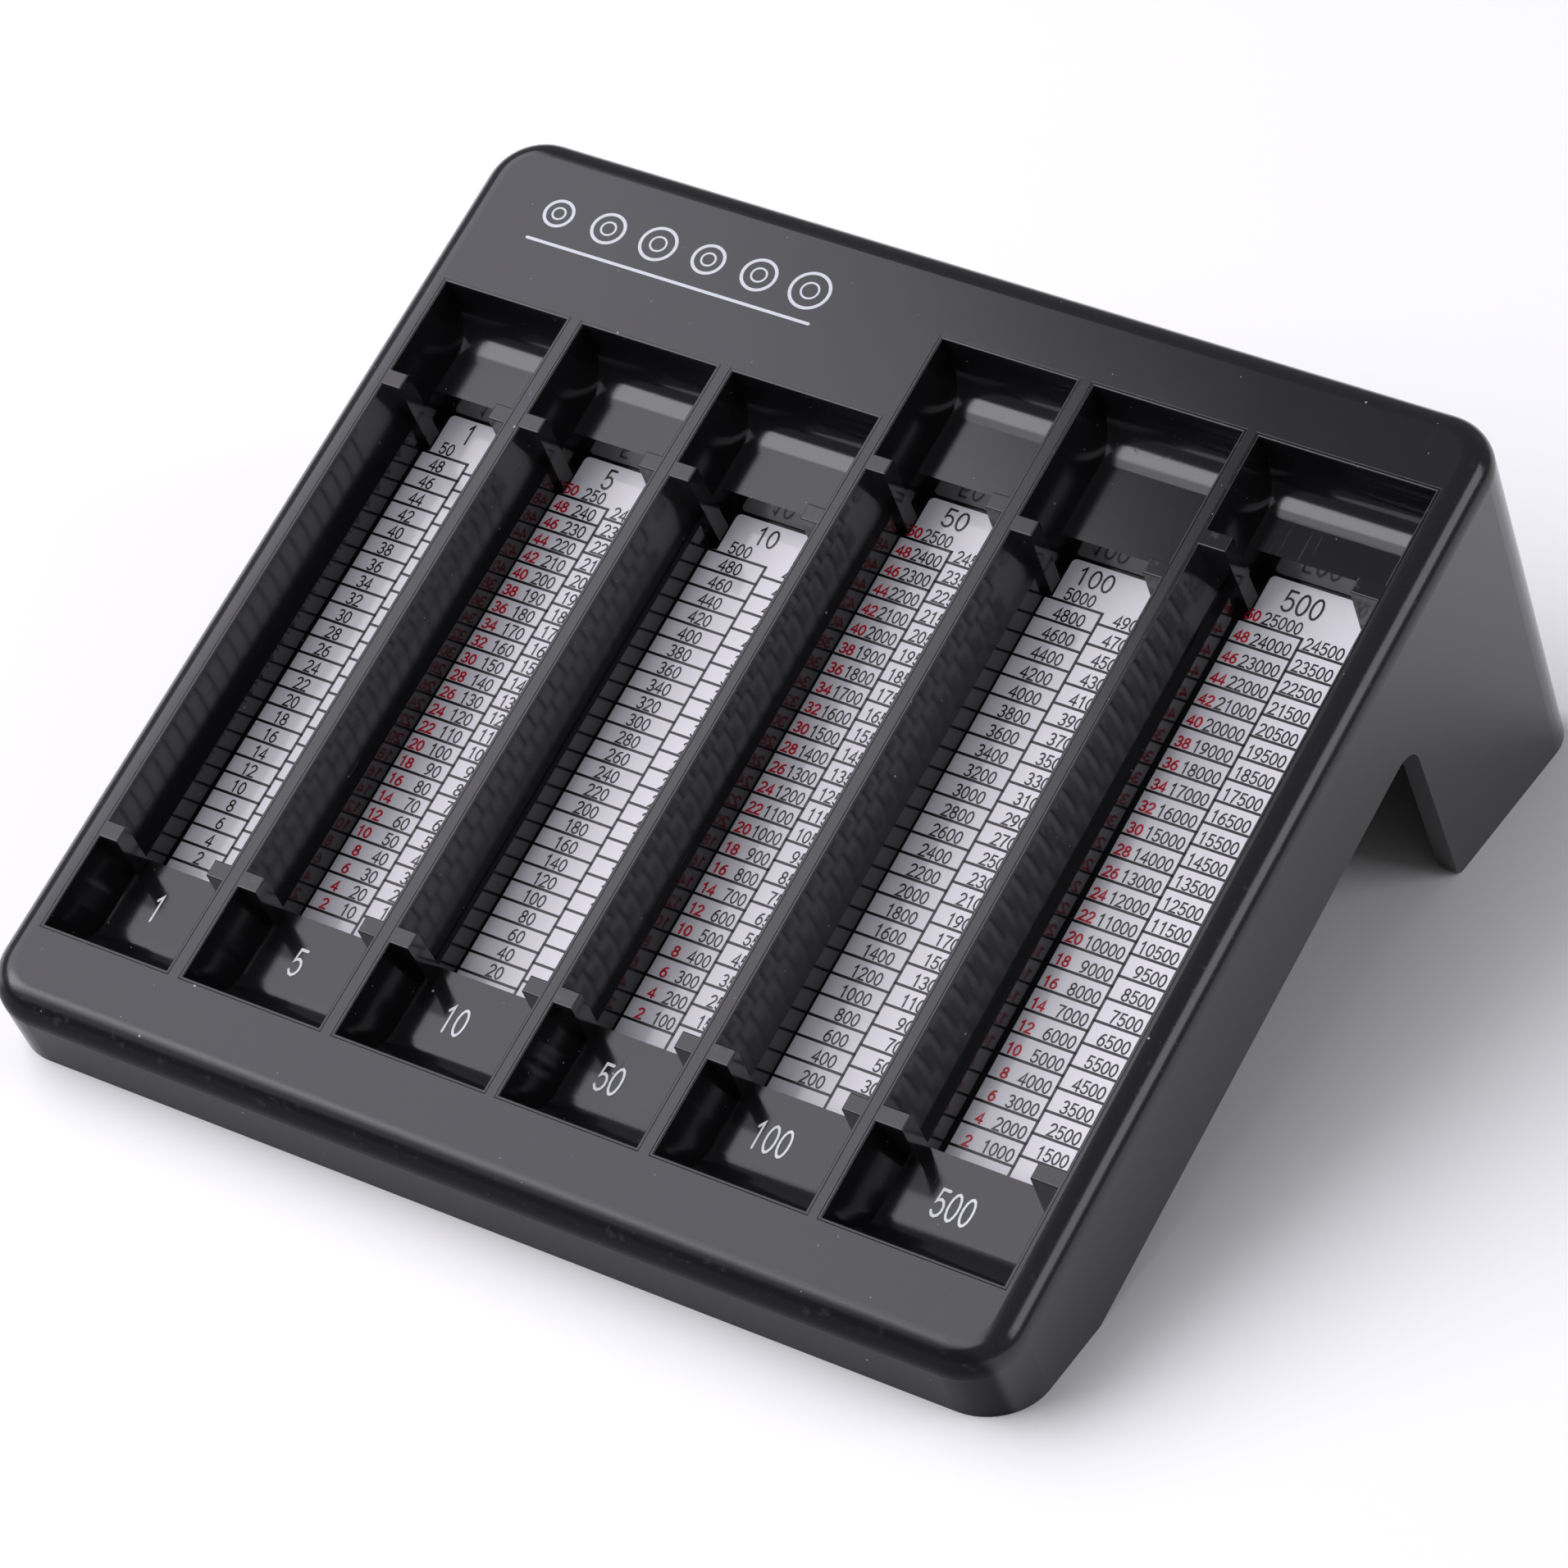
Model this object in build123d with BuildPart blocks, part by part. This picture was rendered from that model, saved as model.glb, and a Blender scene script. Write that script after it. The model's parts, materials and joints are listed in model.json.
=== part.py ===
from build123d import *
import os
from dataclasses import dataclass
from math import cos, radians, sin, tan

# Manual coin counting tray: one sloping moulded housing, six lane channels seated in its
# windows from below, and a printed scale on the seat of each channel.
# Millimetres. +X runs across the lanes from left to right, +Y towards the back, +Z up.
# The tray stands on Z = 0 and the origin is the middle of its footprint.

# Housing
TILT = 21.5                # slope of the top plate, low at the front
WIDTH = 161.0              # across the lanes
PLATE_LENGTH = 155.3       # outer edge to outer edge, along the slope
FRONT_MARGIN = 13.1        # plate in front of the windows
SIDE_MARGIN = 5.1          # plate beside the first window
WALL = 3.0                 # plate, skirts and legs
EDGE_RADIUS = 4.0          # rounding where the plate turns down into the skirts
CORNER_RADIUS = 8.5        # the four corners, seen square to the plate
FRONT_DEPTH = 14.2         # plate to floor at the front face, square to the plate
SKIRT_DEPTH = 22.5         # side skirts, square to the plate
LEG_TOP = 103.0            # front edge of a leg where it leaves the skirt, from the window edge
LEG_LEAN = 2.0             # how far that edge runs back by the time it reaches the floor
NOTCH_RADIUS = 5.0         # inner corner between skirt and leg
TOE_RADIUS = 2.5           # front corner of a leg at the floor
WINDOW_ROUND = 0.1         # rounding of the plate along every window

# Channels
LIP = 0.45                 # channel wall that shows inside its window
LIP_GAP = 0.04             # play between that lip and the housing
LIP_ROUND = 0.2            # rounding of the lip's inner edge and of the ribs
SIDE_WALL = 1.1            # side walls, below the plate
END_WALL = 1.8             # front and back walls, below the plate
FLOOR_WALL = 1.8           # under the wells and under the seat
WELL_DEPTH = 9.5           # plate top to the floors of the finger wells at both ends
CREASE = 2.15              # inset of the foot of the curved side
FRONT_SCOOP = 7.0          # radius from the front wall down to the front well
BACK_SCOOP = 6.0           # radius from the back well up to the back wall
SEAT_DEPTH = 14.8          # plate top to the sunken seat between the wells
SEAT_START = 18.0          # window edge to the front of the seat
SEAT_PLAY = 0.3            # seat behind the head of its scale
SEAT_SIDE = 1.5            # walls round the seat, below the wells
RIB = 2.65                 # thickness of a stop rib along the lane
FRONT_RIB = 15.0           # window edge to the front pair of ribs

# Scales
SCALE_THICKNESS = 0.2
SCALE_CORNER = 0.8
SCALE_PLAY = 0.15          # between a scale and the ribs or the front of the seat
SCALE_SHOULDER = 0.25      # full width behind the last row line
ROWS = 25                  # two coins to a row, fifty coins to a lane


@dataclass
class Lane:
    width: float           # window, left to right: coin diameter and its play
    gap: float             # divider on its right
    length: float          # window, front to back
    groove: float          # inset of the seat's left wall
    left_rib: float        # how far the left and right ribs reach in, at the plate
    right_rib: float
    rib_foot: float        # the same for the left ribs, at the seat
    stack: float           # clear length between the rib pairs
    pitch: float           # one scale row, two coins on edge
    scale_inset: float     # left edge of the scale
    scale_start: float     # window edge to the first row line
    header: float          # head of the scale behind its last row line

    @property
    def rows_end(self):
        return self.scale_start + (ROWS - 1) * self.pitch

    @property
    def seat_end(self):
        return self.rows_end + self.header + SEAT_PLAY


LANES = [
    Lane(20.42, 2.74, 113.75, 2.25, 2.9, 2.6, 3.40, 77.30, 3.027, 2.60, 21.54, 6.9),
    Lane(22.22, 2.67, 113.75, 2.15, 3.0, 2.6, 3.05, 77.40, 3.027, 2.35, 21.74, 7.1),
    Lane(23.71, 2.46, 113.75, 2.90, 3.0, 2.6, 4.20, 77.40, 3.027, 3.15, 20.84, 6.8),
    Lane(21.41, 2.67, 128.60, 2.15, 2.9, 2.6, 3.20, 87.85, 3.428, 2.35, 22.54, 7.3),
    Lane(23.13, 2.50, 128.60, 2.15, 3.1, 2.7, 3.15, 85.65, 3.368, 2.35, 22.04, 6.9),
    Lane(26.94, 0.00, 128.60, 3.60, 4.0, 4.0, 5.05, 92.35, 3.629, 4.10, 21.54, 8.0),
]

# Where things are. The plate plane has its local X across the lanes, its local Y up the
# slope, and its origin in the middle of the windows' front edge.
slope = radians(TILT)
back_edge = PLATE_LENGTH - FRONT_MARGIN
plate_height = FRONT_MARGIN * sin(slope) + FRONT_DEPTH * cos(slope)
front_reach = (FRONT_MARGIN - EDGE_RADIUS) * cos(slope) - EDGE_RADIUS * sin(slope) + EDGE_RADIUS
back_depth = FRONT_DEPTH + PLATE_LENGTH * tan(slope)
back_reach = back_edge * cos(slope) + back_depth * sin(slope)
plate = Plane(
    origin=(0, (front_reach - back_reach) / 2, plate_height),
    x_dir=(1, 0, 0),
    z_dir=(0, -sin(slope), cos(slope)),
)
uphill = Axis(plate.origin, plate.y_dir)
off_plate = Axis(plate.origin, plate.z_dir)


def across(left, start):
    """Section plane across a lane: local X to the right, local Y off the plate."""
    return Plane(plate.from_local_coords((left, start, 0)), x_dir=plate.x_dir, z_dir=-plate.y_dir)


def along(left):
    """Side plane of a lane: local X up the slope, local Y off the plate."""
    return Plane(plate.from_local_coords((left, 0, 0)), x_dir=plate.y_dir, z_dir=plate.x_dir)


def scoop(wall, reach, depth):
    """Quarter-round fill in a lane's corner between an end wall and the floor of its hollow."""
    top = abs(reach) - depth
    root = -depth - 2 * LIP_ROUND
    with BuildSketch() as corner:
        with BuildLine():
            TangentArc((wall, top), (wall + reach, -depth), tangent=(0, -1))
            Polyline((wall + reach, -depth), (wall + reach, root), (wall, root), (wall, top))
        make_face()
    return corner.sketch


def window(lane, left):
    """Size and centre of a lane's window in the housing, lip included."""
    margin = 2 * (LIP + LIP_GAP)
    centre = (left + lane.width / 2, lane.length / 2)
    return centre, (lane.width + margin, lane.length + margin)


lane_lefts = []
left = SIDE_MARGIN - WIDTH / 2
for lane in LANES:
    lane_lefts.append(left)
    left += lane.width + lane.gap


# Top housing: plate, skirts, two side legs and the back wall in one moulding
plate_middle = back_edge - PLATE_LENGTH / 2

with BuildPart() as top_housing:
    with BuildSketch(plate) as outline:
        with Locations((0, plate_middle)):
            Rectangle(WIDTH, PLATE_LENGTH)
        fillet(outline.vertices(), CORNER_RADIUS)
    extrude(amount=-back_depth)
    fillet(top_housing.faces().sort_by(off_plate)[-1].edges(), EDGE_RADIUS)

    with BuildSketch(plate.offset(-WALL)) as hollow:
        with Locations((0, plate_middle)):
            Rectangle(WIDTH - 2 * WALL, PLATE_LENGTH - 2 * WALL)
        fillet(hollow.vertices(), CORNER_RADIUS - WALL)
    extrude(amount=-back_depth, mode=Mode.SUBTRACT)
    split(bisect_by=Plane.XY, keep=Keep.TOP)

    # open sides between the skirts and the floor
    with BuildSketch(along(-WIDTH)) as open_side:
        with BuildLine():
            Polyline(
                (-FRONT_MARGIN, -SKIRT_DEPTH),
                (LEG_TOP, -SKIRT_DEPTH),
                (LEG_TOP + LEG_LEAN, -back_depth),
                (-FRONT_MARGIN, -back_depth),
                close=True,
            )
        make_face()
        notch = open_side.vertices().group_by(Axis.Y)[-1].sort_by(Axis.X)[-1]
        fillet(notch, NOTCH_RADIUS)
    extrude(amount=2 * WIDTH, mode=Mode.SUBTRACT)
    floor_edges = top_housing.edges().filter_by(Axis.X).filter_by_position(Axis.Z, -0.01, 0.01)
    toes = [edge for edge in floor_edges if abs(edge.length - WALL) < 0.01]
    toes = ShapeList(toes).sort_by(Axis.Y)[-2:]
    fillet(toes, TOE_RADIUS)

    # windows
    with BuildSketch(plate) as windows:
        for lane, left in zip(LANES, lane_lefts):
            centre, size = window(lane, left)
            with Locations(centre):
                Rectangle(*size)
    extrude(amount=-2 * WALL, mode=Mode.SUBTRACT)
    top = top_housing.faces().sort_by(off_plate)[-1]
    fillet(ShapeList([edge for wire in top.inner_wires() for edge in wire.edges()]), WINDOW_ROUND)

top_housing.part.label = "top_housing"


def stop_rib(lane, left, start, points):
    """A rib across one side of a lane, with the free edges of its top rounded."""
    with BuildPart() as rib:
        with BuildSketch(across(left, start)):
            with BuildLine():
                Polyline(*points, close=True)
            make_face()
        extrude(amount=-RIB)
        lane_middle = plate.from_local_coords((left + lane.width / 2, start + RIB / 2, 0))
        top_edges = rib.faces().sort_by(off_plate)[-1].edges()
        fillet(top_edges.sort_by_distance(lane_middle)[:-1], LIP_ROUND)
    return rib.part


def lane_channel(lane, left):
    """One lane's trough: curved side, two finger wells, a sunken seat and two pairs of ribs."""
    ribs = []
    for start, floor in ((FRONT_RIB, WELL_DEPTH), (FRONT_RIB + RIB + lane.stack, SEAT_DEPTH)):
        foot = lane.left_rib + (lane.rib_foot - lane.left_rib) * floor / SEAT_DEPTH
        root = lane.groove - SEAT_SIDE / 2
        left_side = [(-LIP, 0), (lane.left_rib, 0), (foot, -floor), (root, -floor)]
        if floor > WELL_DEPTH:
            left_side.append((root, -WELL_DEPTH))
        left_side.append((-LIP, -WELL_DEPTH))
        right_side = [
            (lane.width - lane.right_rib, 0),
            (lane.width + LIP, 0),
            (lane.width + LIP, -floor),
            (lane.width - lane.right_rib, -floor),
        ]
        ribs.append(stop_rib(lane, left, start, left_side))
        ribs.append(stop_rib(lane, left, start, right_side))

    middle = (left + lane.width / 2, lane.length / 2)
    seat_middle = (SEAT_START + lane.seat_end) / 2
    seat_length = lane.seat_end - SEAT_START
    seat_width = lane.width - lane.groove
    with BuildPart() as channel:
        # body below the plate, deeper under the seat
        with BuildSketch(plate.offset(-WALL)):
            with Locations(middle):
                Rectangle(lane.width + 2 * SIDE_WALL, lane.length + 2 * END_WALL)
        extrude(amount=WALL - WELL_DEPTH - FLOOR_WALL)
        front_foot = channel.faces().sort_by(uphill)[0].edges().sort_by(off_plate)[0]
        fillet(front_foot, FRONT_SCOOP)
        with BuildSketch(plate.offset(-WELL_DEPTH)):
            block_width = seat_width + SEAT_SIDE + SIDE_WALL
            block_left = left + lane.groove - SEAT_SIDE
            with Locations((block_left + block_width / 2, seat_middle)):
                Rectangle(block_width, seat_length + 2 * SEAT_SIDE)
        extrude(amount=WELL_DEPTH - SEAT_DEPTH - FLOOR_WALL)

        # lip that rises through the window
        with BuildSketch(plate.offset(-WALL)):
            with Locations(middle):
                Rectangle(lane.width + 2 * LIP, lane.length + 2 * LIP)
        extrude(amount=WALL)

        # hollow with its curved left side
        with BuildSketch(across(left, 0)):
            with BuildLine():
                TangentArc((0, 0), (CREASE, -WELL_DEPTH), tangent=(0, -1))
                Polyline(
                    (CREASE, -WELL_DEPTH),
                    (lane.width, -WELL_DEPTH),
                    (lane.width, 1),
                    (0, 1),
                    (0, 0),
                )
            make_face()
        extrude(amount=-lane.length, mode=Mode.SUBTRACT)
        lip_top = channel.faces().sort_by(off_plate)[-1]
        fillet(lip_top.inner_wires()[0].edges(), LIP_ROUND)

        # scoops at the ends of the wells
        with BuildSketch(along(left)):
            add(scoop(0, FRONT_SCOOP, WELL_DEPTH))
            add(scoop(lane.length, -BACK_SCOOP, WELL_DEPTH))
        extrude(amount=lane.width)

        # sunken seat
        with BuildSketch(plate.offset(-SEAT_DEPTH)):
            with Locations((left + lane.groove + seat_width / 2, seat_middle)):
                Rectangle(seat_width, seat_length)
        extrude(amount=SEAT_DEPTH - WELL_DEPTH, mode=Mode.SUBTRACT)

        for rib in ribs:
            add(rib)
    return channel.part


def lane_scale(lane, left):
    """Printed strip on the seat, with a narrower head between the back pair of ribs."""
    start = SEAT_START + SCALE_PLAY
    right = lane.width - lane.right_rib - SCALE_PLAY
    shapes = (
        (lane.scale_inset, lane.rows_end + SCALE_SHOULDER),
        (lane.rib_foot + SCALE_PLAY, lane.rows_end + lane.header),
    )
    with BuildPart() as scale:
        with BuildSketch(plate.offset(-SEAT_DEPTH)):
            for inset, end in shapes:
                with Locations((left + (inset + right) / 2, (start + end) / 2)):
                    RectangleRounded(right - inset, end - start, SCALE_CORNER)
        extrude(amount=SCALE_THICKNESS)
    return scale.part


pieces = {"top_housing": top_housing.part}
for number, (lane, left) in enumerate(zip(LANES, lane_lefts), start=1):
    pieces[f"lane_{number}_channel"] = lane_channel(lane, left)
    pieces[f"lane_{number}_scale"] = lane_scale(lane, left)

os.makedirs("parts", exist_ok=True)
for name, piece in pieces.items():
    piece.label = name
    export_step(piece, f"parts/{name}.step")
    box = piece.bounding_box()
    print(name, len(piece.solids()), round(piece.volume), box.min, box.max)
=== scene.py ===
import json
from dataclasses import dataclass
from math import cos, pi, radians, sin

import bmesh
import bpy
from mathutils import Matrix, Vector

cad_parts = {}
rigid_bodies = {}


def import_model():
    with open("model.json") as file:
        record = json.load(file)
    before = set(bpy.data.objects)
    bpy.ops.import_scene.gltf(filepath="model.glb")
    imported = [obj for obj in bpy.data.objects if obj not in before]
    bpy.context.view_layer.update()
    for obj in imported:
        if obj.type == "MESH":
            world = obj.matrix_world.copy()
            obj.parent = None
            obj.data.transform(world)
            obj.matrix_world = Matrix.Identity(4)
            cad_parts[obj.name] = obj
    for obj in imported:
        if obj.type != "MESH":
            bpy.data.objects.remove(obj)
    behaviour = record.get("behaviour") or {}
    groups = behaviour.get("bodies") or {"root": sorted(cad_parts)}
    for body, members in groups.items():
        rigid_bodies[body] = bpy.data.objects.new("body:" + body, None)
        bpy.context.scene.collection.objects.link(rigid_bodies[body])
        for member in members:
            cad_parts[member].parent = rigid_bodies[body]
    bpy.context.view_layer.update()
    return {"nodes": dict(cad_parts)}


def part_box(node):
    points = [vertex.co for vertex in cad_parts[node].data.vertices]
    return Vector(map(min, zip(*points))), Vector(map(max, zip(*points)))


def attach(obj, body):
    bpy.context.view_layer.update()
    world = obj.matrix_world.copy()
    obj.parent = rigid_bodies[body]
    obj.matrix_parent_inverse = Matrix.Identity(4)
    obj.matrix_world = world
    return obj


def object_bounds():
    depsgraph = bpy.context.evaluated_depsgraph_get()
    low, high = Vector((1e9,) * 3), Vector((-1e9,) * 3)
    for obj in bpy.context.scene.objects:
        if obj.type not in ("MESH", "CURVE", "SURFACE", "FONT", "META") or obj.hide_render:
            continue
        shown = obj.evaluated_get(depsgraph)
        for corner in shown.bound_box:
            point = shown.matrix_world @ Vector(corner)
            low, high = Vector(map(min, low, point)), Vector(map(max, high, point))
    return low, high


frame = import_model()

# Metres. The tray's plate slopes up to the back: ALONG runs up the slope and OFF points off
# the plate. Everything that is printed is laid out in millimetres, which MM turns to metres.
MM = 0.001
SLOPE = radians(21.5)
ACROSS = Vector((1, 0, 0))
ALONG = Vector((0, cos(SLOPE), sin(SLOPE)))
OFF = Vector((0, -sin(SLOPE), cos(SLOPE)))
SCENE = bpy.context.scene


# Node trees ------------------------------------------------------------------------------

class Value:
    """An output socket that takes part in arithmetic."""

    def __init__(self, graph, socket):
        self.graph = graph
        self.socket = socket

    def math(self, operation, *values):
        return self.graph.add(
            "ShaderNodeMath", {"operation": operation}, dict(enumerate(values))
        )

    def __add__(self, other):
        return self.math("ADD", self, other)

    def __sub__(self, other):
        return self.math("SUBTRACT", self, other)

    def __rsub__(self, other):
        return self.math("SUBTRACT", other, self)

    def __mul__(self, other):
        return self.math("MULTIPLY", self, other)

    def __lt__(self, other):
        return self.math("LESS_THAN", self, other)

    __radd__ = __add__
    __rmul__ = __mul__


class Graph:
    """A node tree, and the one way to put nodes into it."""

    def __init__(self, tree):
        self.tree = tree

    def add(self, kind, settings=None, sockets=None, output=0):
        """A node with its settings made first, then its sockets given values or links."""
        node = self.tree.nodes.new(kind)
        for name, setting in (settings or {}).items():
            if name == "stops":
                for stop, (place, level) in zip(node.color_ramp.elements, setting):
                    stop.position = place
                    stop.color = (level, level, level, 1)
            else:
                setattr(node, name, setting)
        for name, value in (sockets or {}).items():
            if isinstance(value, Value):
                self.tree.links.new(value.socket, node.inputs[name])
            else:
                node.inputs[name].default_value = value
        return Value(self, node.outputs[output]) if len(node.outputs) else None


class Finish(Graph):
    """A material on object coordinates, with the patterns that the finishes share.

    Scales count features to the metre: a noise of scale 5200 has a grain of 0.2 mm.
    """

    DULL_LEVEL = 0.06          # specular level where the reflection is turned down as painted shade, 0.5 elsewhere

    def __init__(self, name):
        self.material = bpy.data.materials.new(name)
        self.material.use_nodes = True
        super().__init__(self.material.node_tree)
        self.tree.nodes.clear()
        self.place = self.add("ShaderNodeTexCoord", output="Object")

    def noise(self, scale, detail=2.0, stretch=None):
        place = self.place
        if stretch:
            turned = self.add(
                "ShaderNodeMapping", {}, {"Vector": place, "Rotation": (-SLOPE, 0, 0)}
            )
            place = self.add("ShaderNodeMapping", {}, {"Vector": turned, "Scale": stretch})
        return self.add(
            "ShaderNodeTexNoise", {}, {"Vector": place, "Scale": scale, "Detail": detail}
        )

    def ramp(self, value, low, high):
        """0 below low, 1 above high, smooth between."""
        return self.add(
            "ShaderNodeMapRange",
            {"interpolation_type": "SMOOTHSTEP"},
            {"Value": value, "From Min": low, "From Max": high},
        )

    def specks(self, scale, size, share):
        """Round specks in a share of the cells of a lattice."""
        cell = {"Vector": self.place, "Scale": scale}
        near = self.add("ShaderNodeTexVoronoi", {}, dict(cell), "Distance")
        pick = self.add("ShaderNodeTexVoronoi", {}, dict(cell), "Color")
        grey = self.add("ShaderNodeSeparateColor", {}, {"Color": pick})
        return (near < size) * (grey < share)

    def reach(self, way, start):
        """Distance from a point along one of the tray's directions."""
        dot = self.add(
            "ShaderNodeVectorMath",
            {"operation": "DOT_PRODUCT"},
            {0: self.place, 1: tuple(way)},
            "Value",
        )
        return dot - start.dot(way)

    def blend(self, factor, low, high):
        sockets = {0: factor, 6: low, 7: high}
        return self.add("ShaderNodeMix", {"data_type": "RGBA", "clamp_factor": True}, sockets, 2)

    def finish(self, colour, roughness, height=None, depth=0.0, painted_shade=None):
        """The material, with relief of a depth in metres and a mask of painted shade that turns its
        reflection down.
        """
        sockets = {"Base Color": colour, "Roughness": roughness}
        if height is not None:
            bump = {"Height": height, "Strength": 1.0, "Distance": depth}
            sockets["Normal"] = self.add("ShaderNodeBump", {}, bump)
        shader = self.add("ShaderNodeBsdfPrincipled", {}, sockets)
        if painted_shade is not None:
            # painted shade: a copy of the shader with its reflection turned down, mixed in by the
            # mask
            sockets["Specular IOR Level"] = self.DULL_LEVEL
            shaded_copy = self.add("ShaderNodeBsdfPrincipled", {}, sockets)
            shader = self.add("ShaderNodeMixShader", {}, {0: painted_shade, 1: shader, 2: shaded_copy})
        self.add("ShaderNodeOutputMaterial", {}, {"Surface": shader})
        return self.material


PLASTIC_RELIEF = 12e-6
INK_RELIEF = 1.5e-6
DUST = (0.42, 0.42, 0.44, 1)


def plastic(name, shade, worn, roughness, grain, edge_wear, painted_shade_side=None):
    """Black moulded plastic: fine grain, cloudy gloss, scratches along the slope and dust."""
    f = Finish(name)
    cloud = f.noise(28, 4)
    fine = f.noise(5200, 2)
    drag = f.ramp(f.noise(1, 3, (2600, 70, 2600)), 0.66, 0.74) * f.ramp(f.noise(60), 0.52, 0.68)
    swirl = f.ramp(f.noise(1, 2, (90, 2300, 90)), 0.70, 0.78) * f.ramp(f.noise(45), 0.56, 0.7)
    dust = f.specks(300, 0.055, 0.10) + f.specks(1100, 0.09, 0.035)
    rubbed = f.ramp(f.noise(700, 5), 0.60, 0.70) * edge_wear(f)
    colour = f.blend(cloud, (*shade, 1), (*(1.35 * c for c in shade), 1))
    colour = f.blend(rubbed * 0.25 + drag * 0.25 + swirl * 0.15, colour, (*worn, 1))
    colour = f.blend(dust * 0.7, colour, DUST)
    rough = roughness + (cloud - 0.5) * 0.10 + drag * 0.10 + rubbed * 0.08 + dust * 0.3
    height = fine * grain - drag * 0.5 - swirl * 0.3 + dust * 0.6
    # painted shade: a mask where the reflection is turned down, when one is given
    painted_shade = painted_shade_side(f) if painted_shade_side else None
    return f.finish(colour, rough, height, PLASTIC_RELIEF, painted_shade)


def printed(name, colour, roughness, spread=0.12):
    """Ink or film with a slightly uneven coat."""
    f = Finish(name)
    uneven = f.noise(900, 3)
    darker = tuple(c * (1 - spread) for c in colour)
    tint = f.blend(uneven, (*darker, 1), (*colour, 1))
    rough = roughness + (f.noise(350, 2) - 0.5) * 0.04
    return f.finish(tint, rough, f.noise(2600, 2), INK_RELIEF)


def plate_edges(f):
    """The rounding round the plate, where hands rub it."""
    height = f.reach(OFF, plate_corner)
    return f.ramp(height, -3.2 * MM, -1.4 * MM) * f.ramp(-1.0 * height, 0.15 * MM, 0.5 * MM)


def front_wall(f):
    """Painted shade on the front wall and the rounding above it: their reflection is turned down,
    standing in for the shadowed floor they reflect and keeping a highlight off the rounding.
    """
    return f.ramp(-1.0 * f.reach(ALONG, plate_corner), 27.4 * MM, 28.9 * MM)


def lip_edges(f):
    """The top of the ribs and lips, level with the plate."""
    return f.ramp(f.reach(OFF, plate_corner), -0.35 * MM, -0.1 * MM)


# Places on the tray, read from the frame ---------------------------------------------------

LANES = 6
SCALE_THICKNESS = 0.2 * MM
SEAT_DEPTH = 14.8 * MM     # plate to the seats that the scales lie on
WELL_DEPTH = 9.5 * MM      # plate to the floors of the finger wells
scale_boxes = [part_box(f"lane_{number}_scale") for number in range(1, LANES + 1)]
scale_widths = [high.x - low.x for low, high in scale_boxes]
# front left corner of each scale's top face, and the point over the first on the plate
scale_corners = [
    Vector((low.x, low.y, low.z + SCALE_THICKNESS * cos(SLOPE))) for low, high in scale_boxes
]
plate_corner = scale_corners[0] + OFF * (SEAT_DEPTH - SCALE_THICKNESS)


def on_face(corner, lift=0.0):
    """Matrix from a flat sheet (x across, y up the slope, z off the plate) to the tray."""
    spot = corner + OFF * lift
    return Matrix(
        [[a, b, c, d] for a, b, c, d in zip(ACROSS, ALONG, OFF, spot)] + [[0, 0, 0, 1]]
    )


# Finishes ----------------------------------------------------------------------------------

# The housing's front wall and the rounding above it carry painted shade: their reflection is turned
# down.
housing_plastic = plastic(
    "housing_plastic", (0.0075, 0.0072, 0.0088), (0.05, 0.05, 0.055), 0.18, 0.3, plate_edges,
    front_wall,
)
channel_plastic = plastic(
    "channel_plastic", (0.0055, 0.0053, 0.0062), (0.05, 0.05, 0.055), 0.12, 0.25, lip_edges
)
film = printed("scale_film", (0.74, 0.73, 0.77), 0.08, 0.03)
black_ink = printed("black_ink", (0.006, 0.006, 0.007), 0.25)
red_ink = printed("red_ink", (0.60, 0.01, 0.03), 0.22)
white_ink = printed("white_ink", (0.74, 0.77, 0.80), 0.32)
grey_ink = printed("grey_ink", (0.56, 0.59, 0.63), 0.34)

for name, node in frame["nodes"].items():
    finish = housing_plastic if name == "top_housing" else channel_plastic
    if name.endswith("_scale"):
        finish = film
    node.data.materials.clear()
    node.data.materials.append(finish)


# Numerals ----------------------------------------------------------------------------------
# Each numeral is one or two strokes on a box of height 1, drawn as runs of points.

def bow(x, y, rx, ry, start, end, steps):
    """Points on an ellipse between two angles in degrees."""
    turns = [radians(start + (end - start) * k / steps) for k in range(steps + 1)]
    return [(x + rx * cos(t), y + ry * sin(t)) for t in turns]


NUMERAL_WIDTH = 0.56
NUMERAL_FILL = 1.36        # breadth of a numeral's box for an advance of 1
STROKES = {
    0: [bow(0.28, 0.5, 0.26, 0.5, 90, 450, 14)],
    1: [[(0.13, 0.80), (0.33, 1.0), (0.33, 0.0)]],
    2: [bow(0.28, 0.73, 0.25, 0.27, 165, -35, 8) + [(0.02, 0.0), (0.55, 0.0)]],
    3: [
        bow(0.27, 0.75, 0.23, 0.25, 150, -90, 7) + bow(0.27, 0.255, 0.27, 0.255, 80, -150, 8)
    ],
    4: [[(0.42, 0.0), (0.42, 1.0), (0.0, 0.27), (0.57, 0.27)]],
    5: [[(0.50, 1.0), (0.12, 1.0), (0.07, 0.53)] + bow(0.27, 0.32, 0.27, 0.32, 120, -150, 8)],
    6: [
        [(0.45, 0.97), (0.28, 0.92), (0.13, 0.72)]
        + bow(0.28, 0.31, 0.255, 0.31, 165, 525, 12)
    ],
    7: [[(0.02, 1.0), (0.54, 1.0), (0.30, 0.45), (0.22, 0.0)]],
    8: [
        bow(0.28, 0.765, 0.215, 0.235, -90, 270, 10),
        bow(0.28, 0.265, 0.265, 0.265, 90, 450, 11),
    ],
    9: [
        bow(0.27, 0.69, 0.255, 0.31, -15, 345, 12)
        + [(0.42, 0.28), (0.27, 0.08), (0.10, 0.03)]
    ],
}


MITRE_LIMIT = 0.45
CAP_TURNS = (3 * pi / 4, pi / 2, pi / 4)


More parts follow.
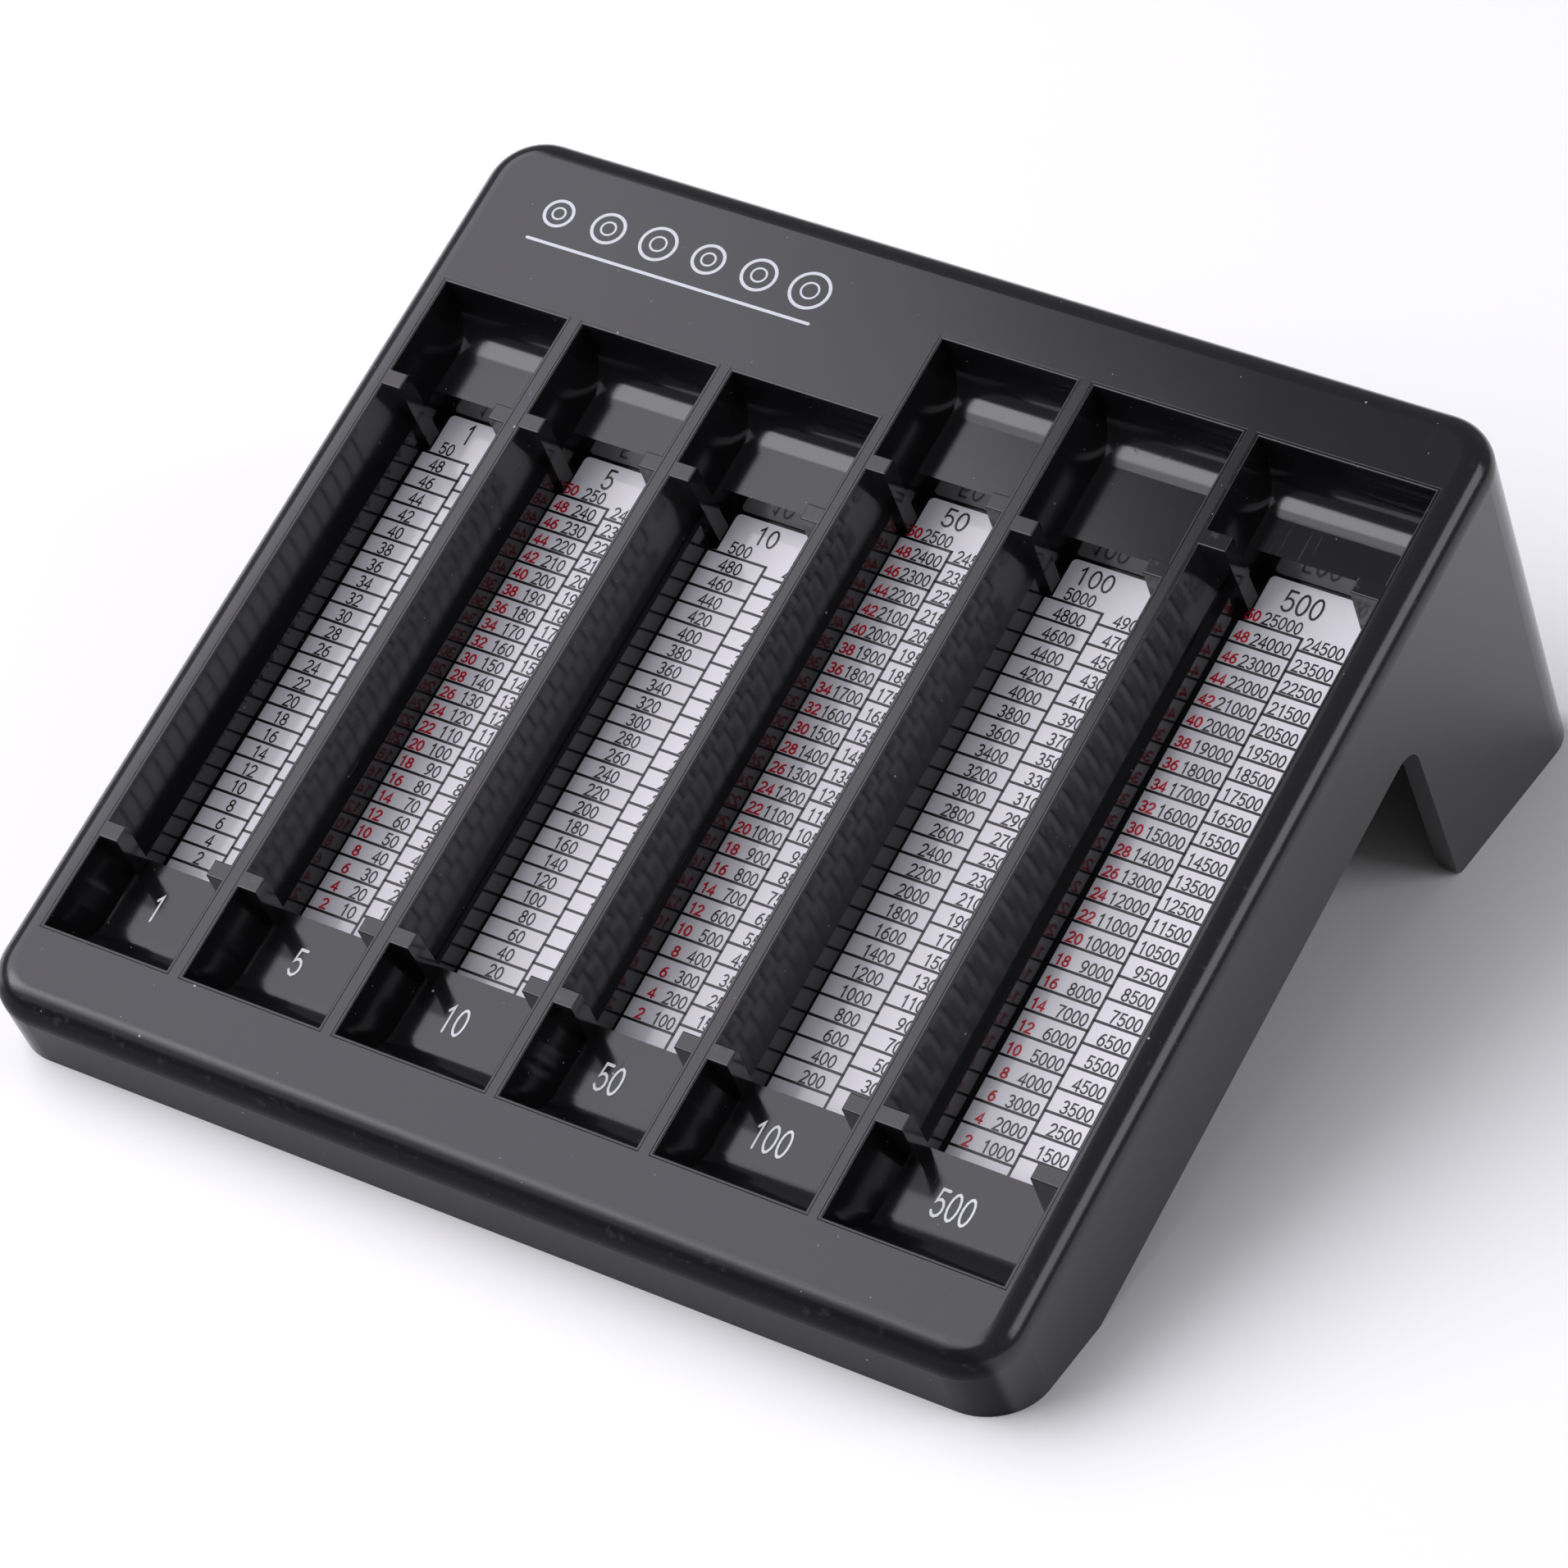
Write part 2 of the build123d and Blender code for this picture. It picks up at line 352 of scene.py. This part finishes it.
def ribbon(bm, points, width, thickness):
    """A flat stroke of one width along a run of points, with its ends rounded."""
    closed = (Vector(points[0]) - Vector(points[-1])).length < 1e-6
    line = [Vector(p) for p in (points[:-1] if closed else points)]
    count = len(line)
    half = width / 2

    def rail(spots):
        """The spots as vertices on the top of the stroke, and as vertices under it."""
        return [[bm.verts.new((p.x, p.y, level)) for p in spots] for level in (thickness, 0.0)]

    left, right = [], []
    for k, here in enumerate(line):
        ways = []
        if closed or k:
            ways.append((here - line[k - 1]).normalized())
        if closed or k < count - 1:
            ways.append((line[(k + 1) % count] - here).normalized())
        way = sum(ways, Vector((0, 0))).normalized()
        out = Vector((-way.y, way.x)) * (half / max(MITRE_LIMIT, way.dot(ways[0])))
        left.append(here + out)
        right.append(here - out)
    left_top, left_low = rail(left)
    right_top, right_low = rail(right)
    for k in range(count if closed else count - 1):
        n = (k + 1) % count
        bm.faces.new((left_top[n], left_top[k], right_top[k], right_top[n]))
        bm.faces.new((left_low[k], left_low[n], right_low[n], right_low[k]))
        bm.faces.new((left_top[k], left_top[n], left_low[n], left_low[k]))
        bm.faces.new((right_top[n], right_top[k], right_low[k], right_low[n]))
    if closed:
        return
    for end, inner, near, far in (
        (0, 1, (left_top, left_low), (right_top, right_low)),
        (-1, -2, (right_top, right_low), (left_top, left_low)),
    ):
        way = (line[end] - line[inner]).normalized()
        out = Vector((-way.y, way.x))
        cap = rail([line[end] + (out * cos(t) + way * sin(t)) * half for t in CAP_TURNS])
        top, low = ([a[end], *arc, b[end]] for a, arc, b in zip(near, cap, far))
        bm.faces.new(top)
        bm.faces.new(low[::-1])
        for k in range(len(top) - 1):
            bm.faces.new((top[k + 1], top[k], low[k], low[k + 1]))


def link(name, mesh):
    piece = bpy.data.objects.new(name, mesh)
    SCENE.collection.objects.link(piece)
    return piece


def solid_mesh(name, bm):
    bmesh.ops.recalc_face_normals(bm, faces=bm.faces)
    mesh = bpy.data.meshes.new(name)
    bm.to_mesh(mesh)
    bm.free()
    return mesh


INK = 0.02                 # thickness of a numeral's ink, on a numeral of height 1


def numeral_set(name, stroke):
    """A collection of the ten numerals, in order, with one stroke width."""
    shelf = bpy.data.collections.new(name)
    SCENE.collection.children.link(shelf)
    for digit, strokes in STROKES.items():
        bm = bmesh.new()
        for points in strokes:
            ribbon(bm, points, stroke, INK)
        shelf.objects.link(bpy.data.objects.new(f"{name}_{digit}", solid_mesh(name, bm)))
    return shelf


# Geometry trees ----------------------------------------------------------------------------

class Maker(Graph):
    """A geometry tree with named inputs that ends in Realize Instances and Set Material."""

    KINDS = {
        "Rows": "NodeSocketInt",
        "Numerals": "NodeSocketCollection",
        "Material": "NodeSocketMaterial",
        "Geometry": "NodeSocketGeometry",
    }

    def __init__(self, name, inputs):
        super().__init__(bpy.data.node_groups.new(name, "GeometryNodeTree"))
        face = self.tree.interface
        face.new_socket("Geometry", in_out="OUTPUT", socket_type="NodeSocketGeometry")
        self.ids = {}
        for label in ("Geometry", *inputs, "Material"):
            kind = self.KINDS.get(label, "NodeSocketFloat")
            socket = face.new_socket(label, in_out="INPUT", socket_type=kind)
            self.ids[label] = socket.identifier
        self.entry = self.tree.nodes.new("NodeGroupInput")

    def given(self, label):
        return Value(self, self.entry.outputs[label])

    def vector(self, x=0.0, y=0.0, z=0.0):
        return self.add("ShaderNodeCombineXYZ", {}, {"X": x, "Y": y, "Z": z})

    def close(self, geometry):
        real = self.add("GeometryNodeRealizeInstances", {}, {"Geometry": geometry})
        done = {"Geometry": real, "Material": self.given("Material")}
        end = self.add("GeometryNodeSetMaterial", {}, done)
        self.add("NodeGroupOutput", {}, {"Geometry": end})

    def mesh(self, source, name, **values):
        """The tree's result on a source object, as a plain mesh."""
        modifier = source.modifiers.new(name, "NODES")
        modifier.node_group = self.tree
        for label, value in values.items():
            modifier[self.ids[label]] = value
        bpy.context.view_layer.update()
        evaluated = source.evaluated_get(bpy.context.evaluated_depsgraph_get())
        result = bpy.data.meshes.new_from_object(evaluated)
        source.modifiers.clear()
        bpy.data.objects.remove(source)
        return result


def ruling_tree():
    """The lines of one scale: two columns of rows, half a row apart, and the bar between."""
    m = Maker("scale_ruling", ["Rows", "Pitch", "Start", "Column", "Width", "Line", "Ink"])
    rows, pitch, start = m.given("Rows"), m.given("Pitch"), m.given("Start")
    column, width, line, ink = (m.given(n) for n in ("Column", "Width", "Line", "Ink"))

    def bars(count, first, left, right):
        points = m.add(
            "GeometryNodeMeshLine",
            {"mode": "OFFSET"},
            {
                "Count": count,
                "Start Location": m.vector((left + right) * 0.5, first, ink * 0.5),
                "Offset": m.vector(y=pitch),
            },
        )
        bar = m.add("GeometryNodeMeshCube", {}, {"Size": m.vector(right - left, line, ink)})
        return m.add("GeometryNodeInstanceOnPoints", {}, {"Points": points, "Instance": bar})

    left_rows = bars(rows, start, 0.0, column + line * 0.5)
    right_rows = bars(rows - 1, start + pitch * 0.5, column - line * 0.5, width)
    length = start + pitch * (rows - 1) + line * 0.5
    divider = m.add(
        "GeometryNodeTransform",
        {},
        {
            "Geometry": m.add("GeometryNodeMeshCube", {}, {"Size": m.vector(line, length, ink)}),
            "Translation": m.vector(column, length * 0.5, ink * 0.5),
        },
    )
    join = m.tree.nodes.new("GeometryNodeJoinGeometry")
    for part in (left_rows, right_rows, divider):
        m.tree.links.new(part.socket, join.inputs[0])
    m.close(Value(m, join.outputs[0]))
    return m


def numeral_tree():
    """A numeral on each point, picked and sized by the point's attributes."""
    m = Maker("numerals", ["Numerals"])
    digit = m.add("GeometryNodeInputNamedAttribute", {"data_type": "INT"}, {"Name": "digit"})
    size = m.add(
        "GeometryNodeInputNamedAttribute", {"data_type": "FLOAT_VECTOR"}, {"Name": "size"}
    )
    shelf = m.add(
        "GeometryNodeCollectionInfo",
        {},
        {"Collection": m.given("Numerals"), "Separate Children": True, "Reset Children": True},
    )
    placed = m.add(
        "GeometryNodeInstanceOnPoints",
        {},
        {
            "Points": m.given("Geometry"),
            "Instance": shelf,
            "Pick Instance": True,
            "Instance Index": digit,
            "Scale": size,
        },
    )
    m.close(placed)
    return m


ruling = ruling_tree()
numerals = numeral_tree()


class Print:
    """Numerals in one ink, gathered as points and then made into one piece."""

    def __init__(self):
        self.points = []
        self.digits = []
        self.sizes = []

    def write(self, corner, text, right, base, height, step):
        """Digits that end at right and stand on base, in millimetres from a scale's corner."""
        broad = NUMERAL_FILL * step
        for k, letter in enumerate(reversed(text)):
            x = (right - (k + 1) * step + (step - NUMERAL_WIDTH * broad) / 2) * MM
            self.points.append(corner + ACROSS * x + ALONG * (base * MM))
            self.digits.append(int(letter))
            self.sizes.extend((broad * MM, height * MM, height * MM))

    def make(self, name, shelf, ink, lift):
        """One piece of a set's numerals, lifted off the face that they are printed on."""
        flat = on_face(scale_corners[0], lift)
        mesh = bpy.data.meshes.new(name)
        mesh.from_pydata([flat.inverted() @ (p + OFF * lift) for p in self.points], [], [])
        digit = mesh.attributes.new("digit", "INT", "POINT")
        digit.data.foreach_set("value", self.digits)
        size = mesh.attributes.new("size", "FLOAT_VECTOR", "POINT")
        size.data.foreach_set("vector", self.sizes)
        result = numerals.mesh(link(name + "_points", mesh), name, Numerals=shelf, Material=ink)
        result.transform(flat)
        return link(name, result)


# The six scales ----------------------------------------------------------------------------
# Millimetres from a scale's front left corner, except value.
ROWS = 25
LINE = 0.42
LIFT = 0.004 * MM          # ink off its film, and half the thickness of a line


@dataclass
class Scale:
    value: int             # worth of one coin
    start: float           # first row line
    pitch: float           # one row, two coins
    column: float          # bar between the columns
    values: tuple          # right ends of the left and right columns' values
    step: float            # advance from one digit of them to the next
    counts: float          # right end of the coin counts, or None
    head: tuple            # right end, base, height and advance at the head
    well: tuple            # right end and base on the floor of the front well


SCALES = [
    Scale(1, 3.39, 3.027, 7.60, (4.5, None), 1.18, None, (6.1, 79.0, 3.2, 1.7), (6.55, -8.65)),
    Scale(5, 3.59, 3.027, 8.40, (7.2, 12.9), 1.2, 2.7, (7.0, 79.15, 3.2, 1.9), (7.4, -8.85)),
    Scale(10, 2.69, 3.027, 9.40, (6.3, 15.9), 1.2, None, (9.1, 78.35, 2.85, 1.9), (8.4, -8.85)),
    Scale(50, 4.39, 3.428, 8.10, (7.5, 13.6), 1.15, 2.7, (8.3, 90.15, 2.9, 2.1), (7.9, -8.95)),
    Scale(100, 3.89, 3.368, 8.97, (7.2, 15.8), 1.2, None, (8.5, 87.95, 2.8, 2.0), (10.0, -8.95)),
    Scale(500, 3.39, 3.629, 9.65, (9.0, 16.25), 1.2, 2.65, (10.55, 93.75, 3.3, 2.1), (10.4, -9.05)),
]
VALUE_HEIGHT, VALUE_BASE = 1.85, 0.40
COUNT_HEIGHT, COUNT_BASE, COUNT_STEP = 1.55, 0.46, 1.12
WELL_HEIGHT, WELL_STEP = 4.05, 2.05

values, heads, counts, wells = Print(), Print(), Print(), Print()
lines = bmesh.new()
for number, scale in enumerate(SCALES):
    corner = scale_corners[number]
    width = scale_widths[number]
    ruled = ruling.mesh(
        link("ruling", bpy.data.meshes.new("ruling")),
        "ruling",
        Rows=ROWS,
        Pitch=scale.pitch * MM,
        Start=scale.start * MM,
        Column=scale.column * MM,
        Width=width,
        Line=LINE * MM,
        Ink=2 * LIFT,
        Material=black_ink,
    )
    ruled.transform(on_face(corner))
    lines.from_mesh(ruled)

    left_end, right_end = scale.values
    for row in range(ROWS):
        coins = 2 * (row + 1)
        line = scale.start + row * scale.pitch
        text = str(coins * scale.value)
        values.write(corner, text, left_end, line + VALUE_BASE, VALUE_HEIGHT, scale.step)
        if scale.counts:
            base = line + COUNT_BASE
            counts.write(corner, str(coins), scale.counts, base, COUNT_HEIGHT, COUNT_STEP)
        if right_end and row < ROWS - 1:
            text = str((coins + 1) * scale.value)
            fits = int((width / MM - right_end) / scale.step + len(text))
            shown = min(len(text), fits)
            end = right_end - (len(text) - shown) * scale.step
            base = line + scale.pitch / 2 + VALUE_BASE
            values.write(corner, text[:shown], end, base, VALUE_HEIGHT, scale.step)
    right, base, height, step = scale.head
    heads.write(corner, str(scale.value), right, base, height, step)
    right, base = scale.well
    floor_corner = corner + OFF * (SEAT_DEPTH - SCALE_THICKNESS - WELL_DEPTH)
    wells.write(floor_corner, str(scale.value), right, base, WELL_HEIGHT, WELL_STEP)

lines_mesh = bpy.data.meshes.new("scale_lines")
lines.to_mesh(lines_mesh)
lines.free()
lines_mesh.materials.append(black_ink)
scale_lines = link("scale_lines", lines_mesh)

thin = numeral_set("thin", 0.112)
medium = numeral_set("medium", 0.145)
bold = numeral_set("bold", 0.20)
scale_values = values.make("scale_values", medium, black_ink, LIFT)
scale_heads = heads.make("scale_heads", thin, black_ink, LIFT)
scale_counts = counts.make("scale_counts", bold, red_ink, LIFT)
well_numerals = wells.make("well_numerals", thin, white_ink, LIFT)
for shelf in (thin, medium, bold):
    for thing in list(shelf.objects):
        bpy.data.objects.remove(thing)
    bpy.data.collections.remove(shelf)

# A row of plain coin rings over a bar, on the plate behind the windows. Millimetres from the
# plate's point over the first scale's corner.
MARK_LEFT, BAR_BASE = 7.5, 106.4
RING_BASE = BAR_BASE + 5.2
RING_STEP = 8.4
RINGS = (2.2, 2.5, 2.75, 2.4, 2.6, 3.0)
INNER = 0.45               # inner ring's share of the radius
RING_STROKE, INNER_STROKE, BAR_STROKE = 0.5, 0.3, 0.5
BAR_REACH = 2.5            # bar past the middles of the end rings
MARK_INK = 2 * LIFT / MM

marks = bmesh.new()
for place, radius in enumerate(RINGS):
    centre = (MARK_LEFT + place * RING_STEP, RING_BASE)
    inner = INNER * radius
    ribbon(marks, bow(*centre, radius, radius, 0, 360, 32), RING_STROKE, MARK_INK)
    ribbon(marks, bow(*centre, inner, inner, 0, 360, 20), INNER_STROKE, MARK_INK)
bar_right = MARK_LEFT + (len(RINGS) - 1) * RING_STEP + BAR_REACH
bar = [(MARK_LEFT - BAR_REACH, BAR_BASE), (bar_right, BAR_BASE)]
ribbon(marks, bar, BAR_STROKE, MARK_INK)
marks_mesh = solid_mesh("plate_marks", marks)
marks_mesh.transform(on_face(plate_corner) @ Matrix.Scale(MM, 4))
marks_mesh.materials.append(grey_ink)
plate_marks = link("plate_marks", marks_mesh)

for piece, slot_name in (
    (plate_marks, "housing_plastic"),
    (scale_lines, "scale_print"),
    (scale_values, "scale_print"),
    (scale_heads, "scale_print"),
    (scale_counts, "scale_print"),
    (well_numerals, "scale_print"),
):
    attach(piece, "root")


# Floor, light and camera -------------------------------------------------------------------

def sheet(name, centre, x_way, y_way, x_size, y_size, material):
    """A flat rectangle round a centre."""
    corners = [
        centre + x_way * (x_size * a) + y_way * (y_size * b)
        for a, b in ((-0.5, -0.5), (0.5, -0.5), (0.5, 0.5), (-0.5, 0.5))
    ]
    mesh = bpy.data.meshes.new(name)
    mesh.from_pydata(corners, [], [(0, 1, 2, 3)])
    mesh.materials.append(material)
    return link(name, mesh)


def floor_finish():
    """A pale, matt and nearly even board."""
    f = Finish("pale_floor")
    tone = f.blend(f.noise(3, 2), (0.90, 0.90, 0.90, 1), (0.92, 0.92, 0.92, 1))
    return f.finish(tone, f.noise(6, 2) * 0.1 + 0.8)


FLOOR_SIZE = 12.0
ground = Vector((0, 0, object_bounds()[0].z))
floor = sheet("floor", ground, ACROSS, Vector((0, 1, 0)), FLOOR_SIZE, FLOOR_SIZE, floor_finish())


def softbox(name, centre, target, size, radiance, colour, turn=0.0):
    """A rectangular light that faces a point, with a radiance rather than a power."""
    lamp = bpy.data.lights.new(name, "AREA")
    lamp.shape = "RECTANGLE"
    lamp.size, lamp.size_y = size
    lamp.energy = radiance * pi * size[0] * size[1]
    lamp.color = colour
    holder = bpy.data.objects.new(name, lamp)
    SCENE.collection.objects.link(holder)
    way = (Vector(target) - Vector(centre)).to_track_quat("-Z", "Y")
    holder.matrix_world = (
        Matrix.Translation(centre) @ way.to_matrix().to_4x4() @ Matrix.Rotation(turn, 4, "Z")
    )


softbox("left_softbox", (-1.325, -0.56, 1.25), (-1.325, -0.56, 0), (2.2, 2.4), 2.45,
        (0.98, 0.95, 1.05), radians(41.3))
softbox("right_softbox", (1.5, 0.35, 0.95), (0, 0, 0.05), (1.1, 0.8), 2.6, (0.98, 0.97, 1.03))

SUN_WAY = Vector((0.60, 0.50, -0.62))
sun = bpy.data.lights.new("high_sun", "SUN")
sun.energy = 1.3
sun.angle = radians(44)
high_sun = bpy.data.objects.new("high_sun", sun)
SCENE.collection.objects.link(high_sun)
high_sun.matrix_world = SUN_WAY.to_track_quat("-Z", "Y").to_matrix().to_4x4()

world = bpy.data.worlds.new("studio")
SCENE.world = world
world.use_nodes = True
background = world.node_tree.nodes["Background"]
background.inputs["Color"].default_value = (0.96, 0.96, 1.0, 1)
background.inputs["Strength"].default_value = 0.25
SCENE.view_settings.view_transform = "Standard"

lens = bpy.data.cameras.new("camera")
lens.sensor_width = 36
lens.lens = 151.72
lens.clip_start, lens.clip_end = 0.05, 50
camera = bpy.data.objects.new("camera", lens)
SCENE.collection.objects.link(camera)
right, up, back = (
    Vector((0.8557, 0.5157, -0.0434)),
    Vector((-0.2952, 0.5553, 0.7775)),
    Vector((0.4250, -0.6525, 0.6273)),
)
camera.matrix_world = Matrix(
    [[a, b, c, d] for a, b, c, d in zip(right, up, back, (0.3896, -0.6014, 0.5955))]
    + [[0, 0, 0, 1]]
)
SCENE.camera = camera
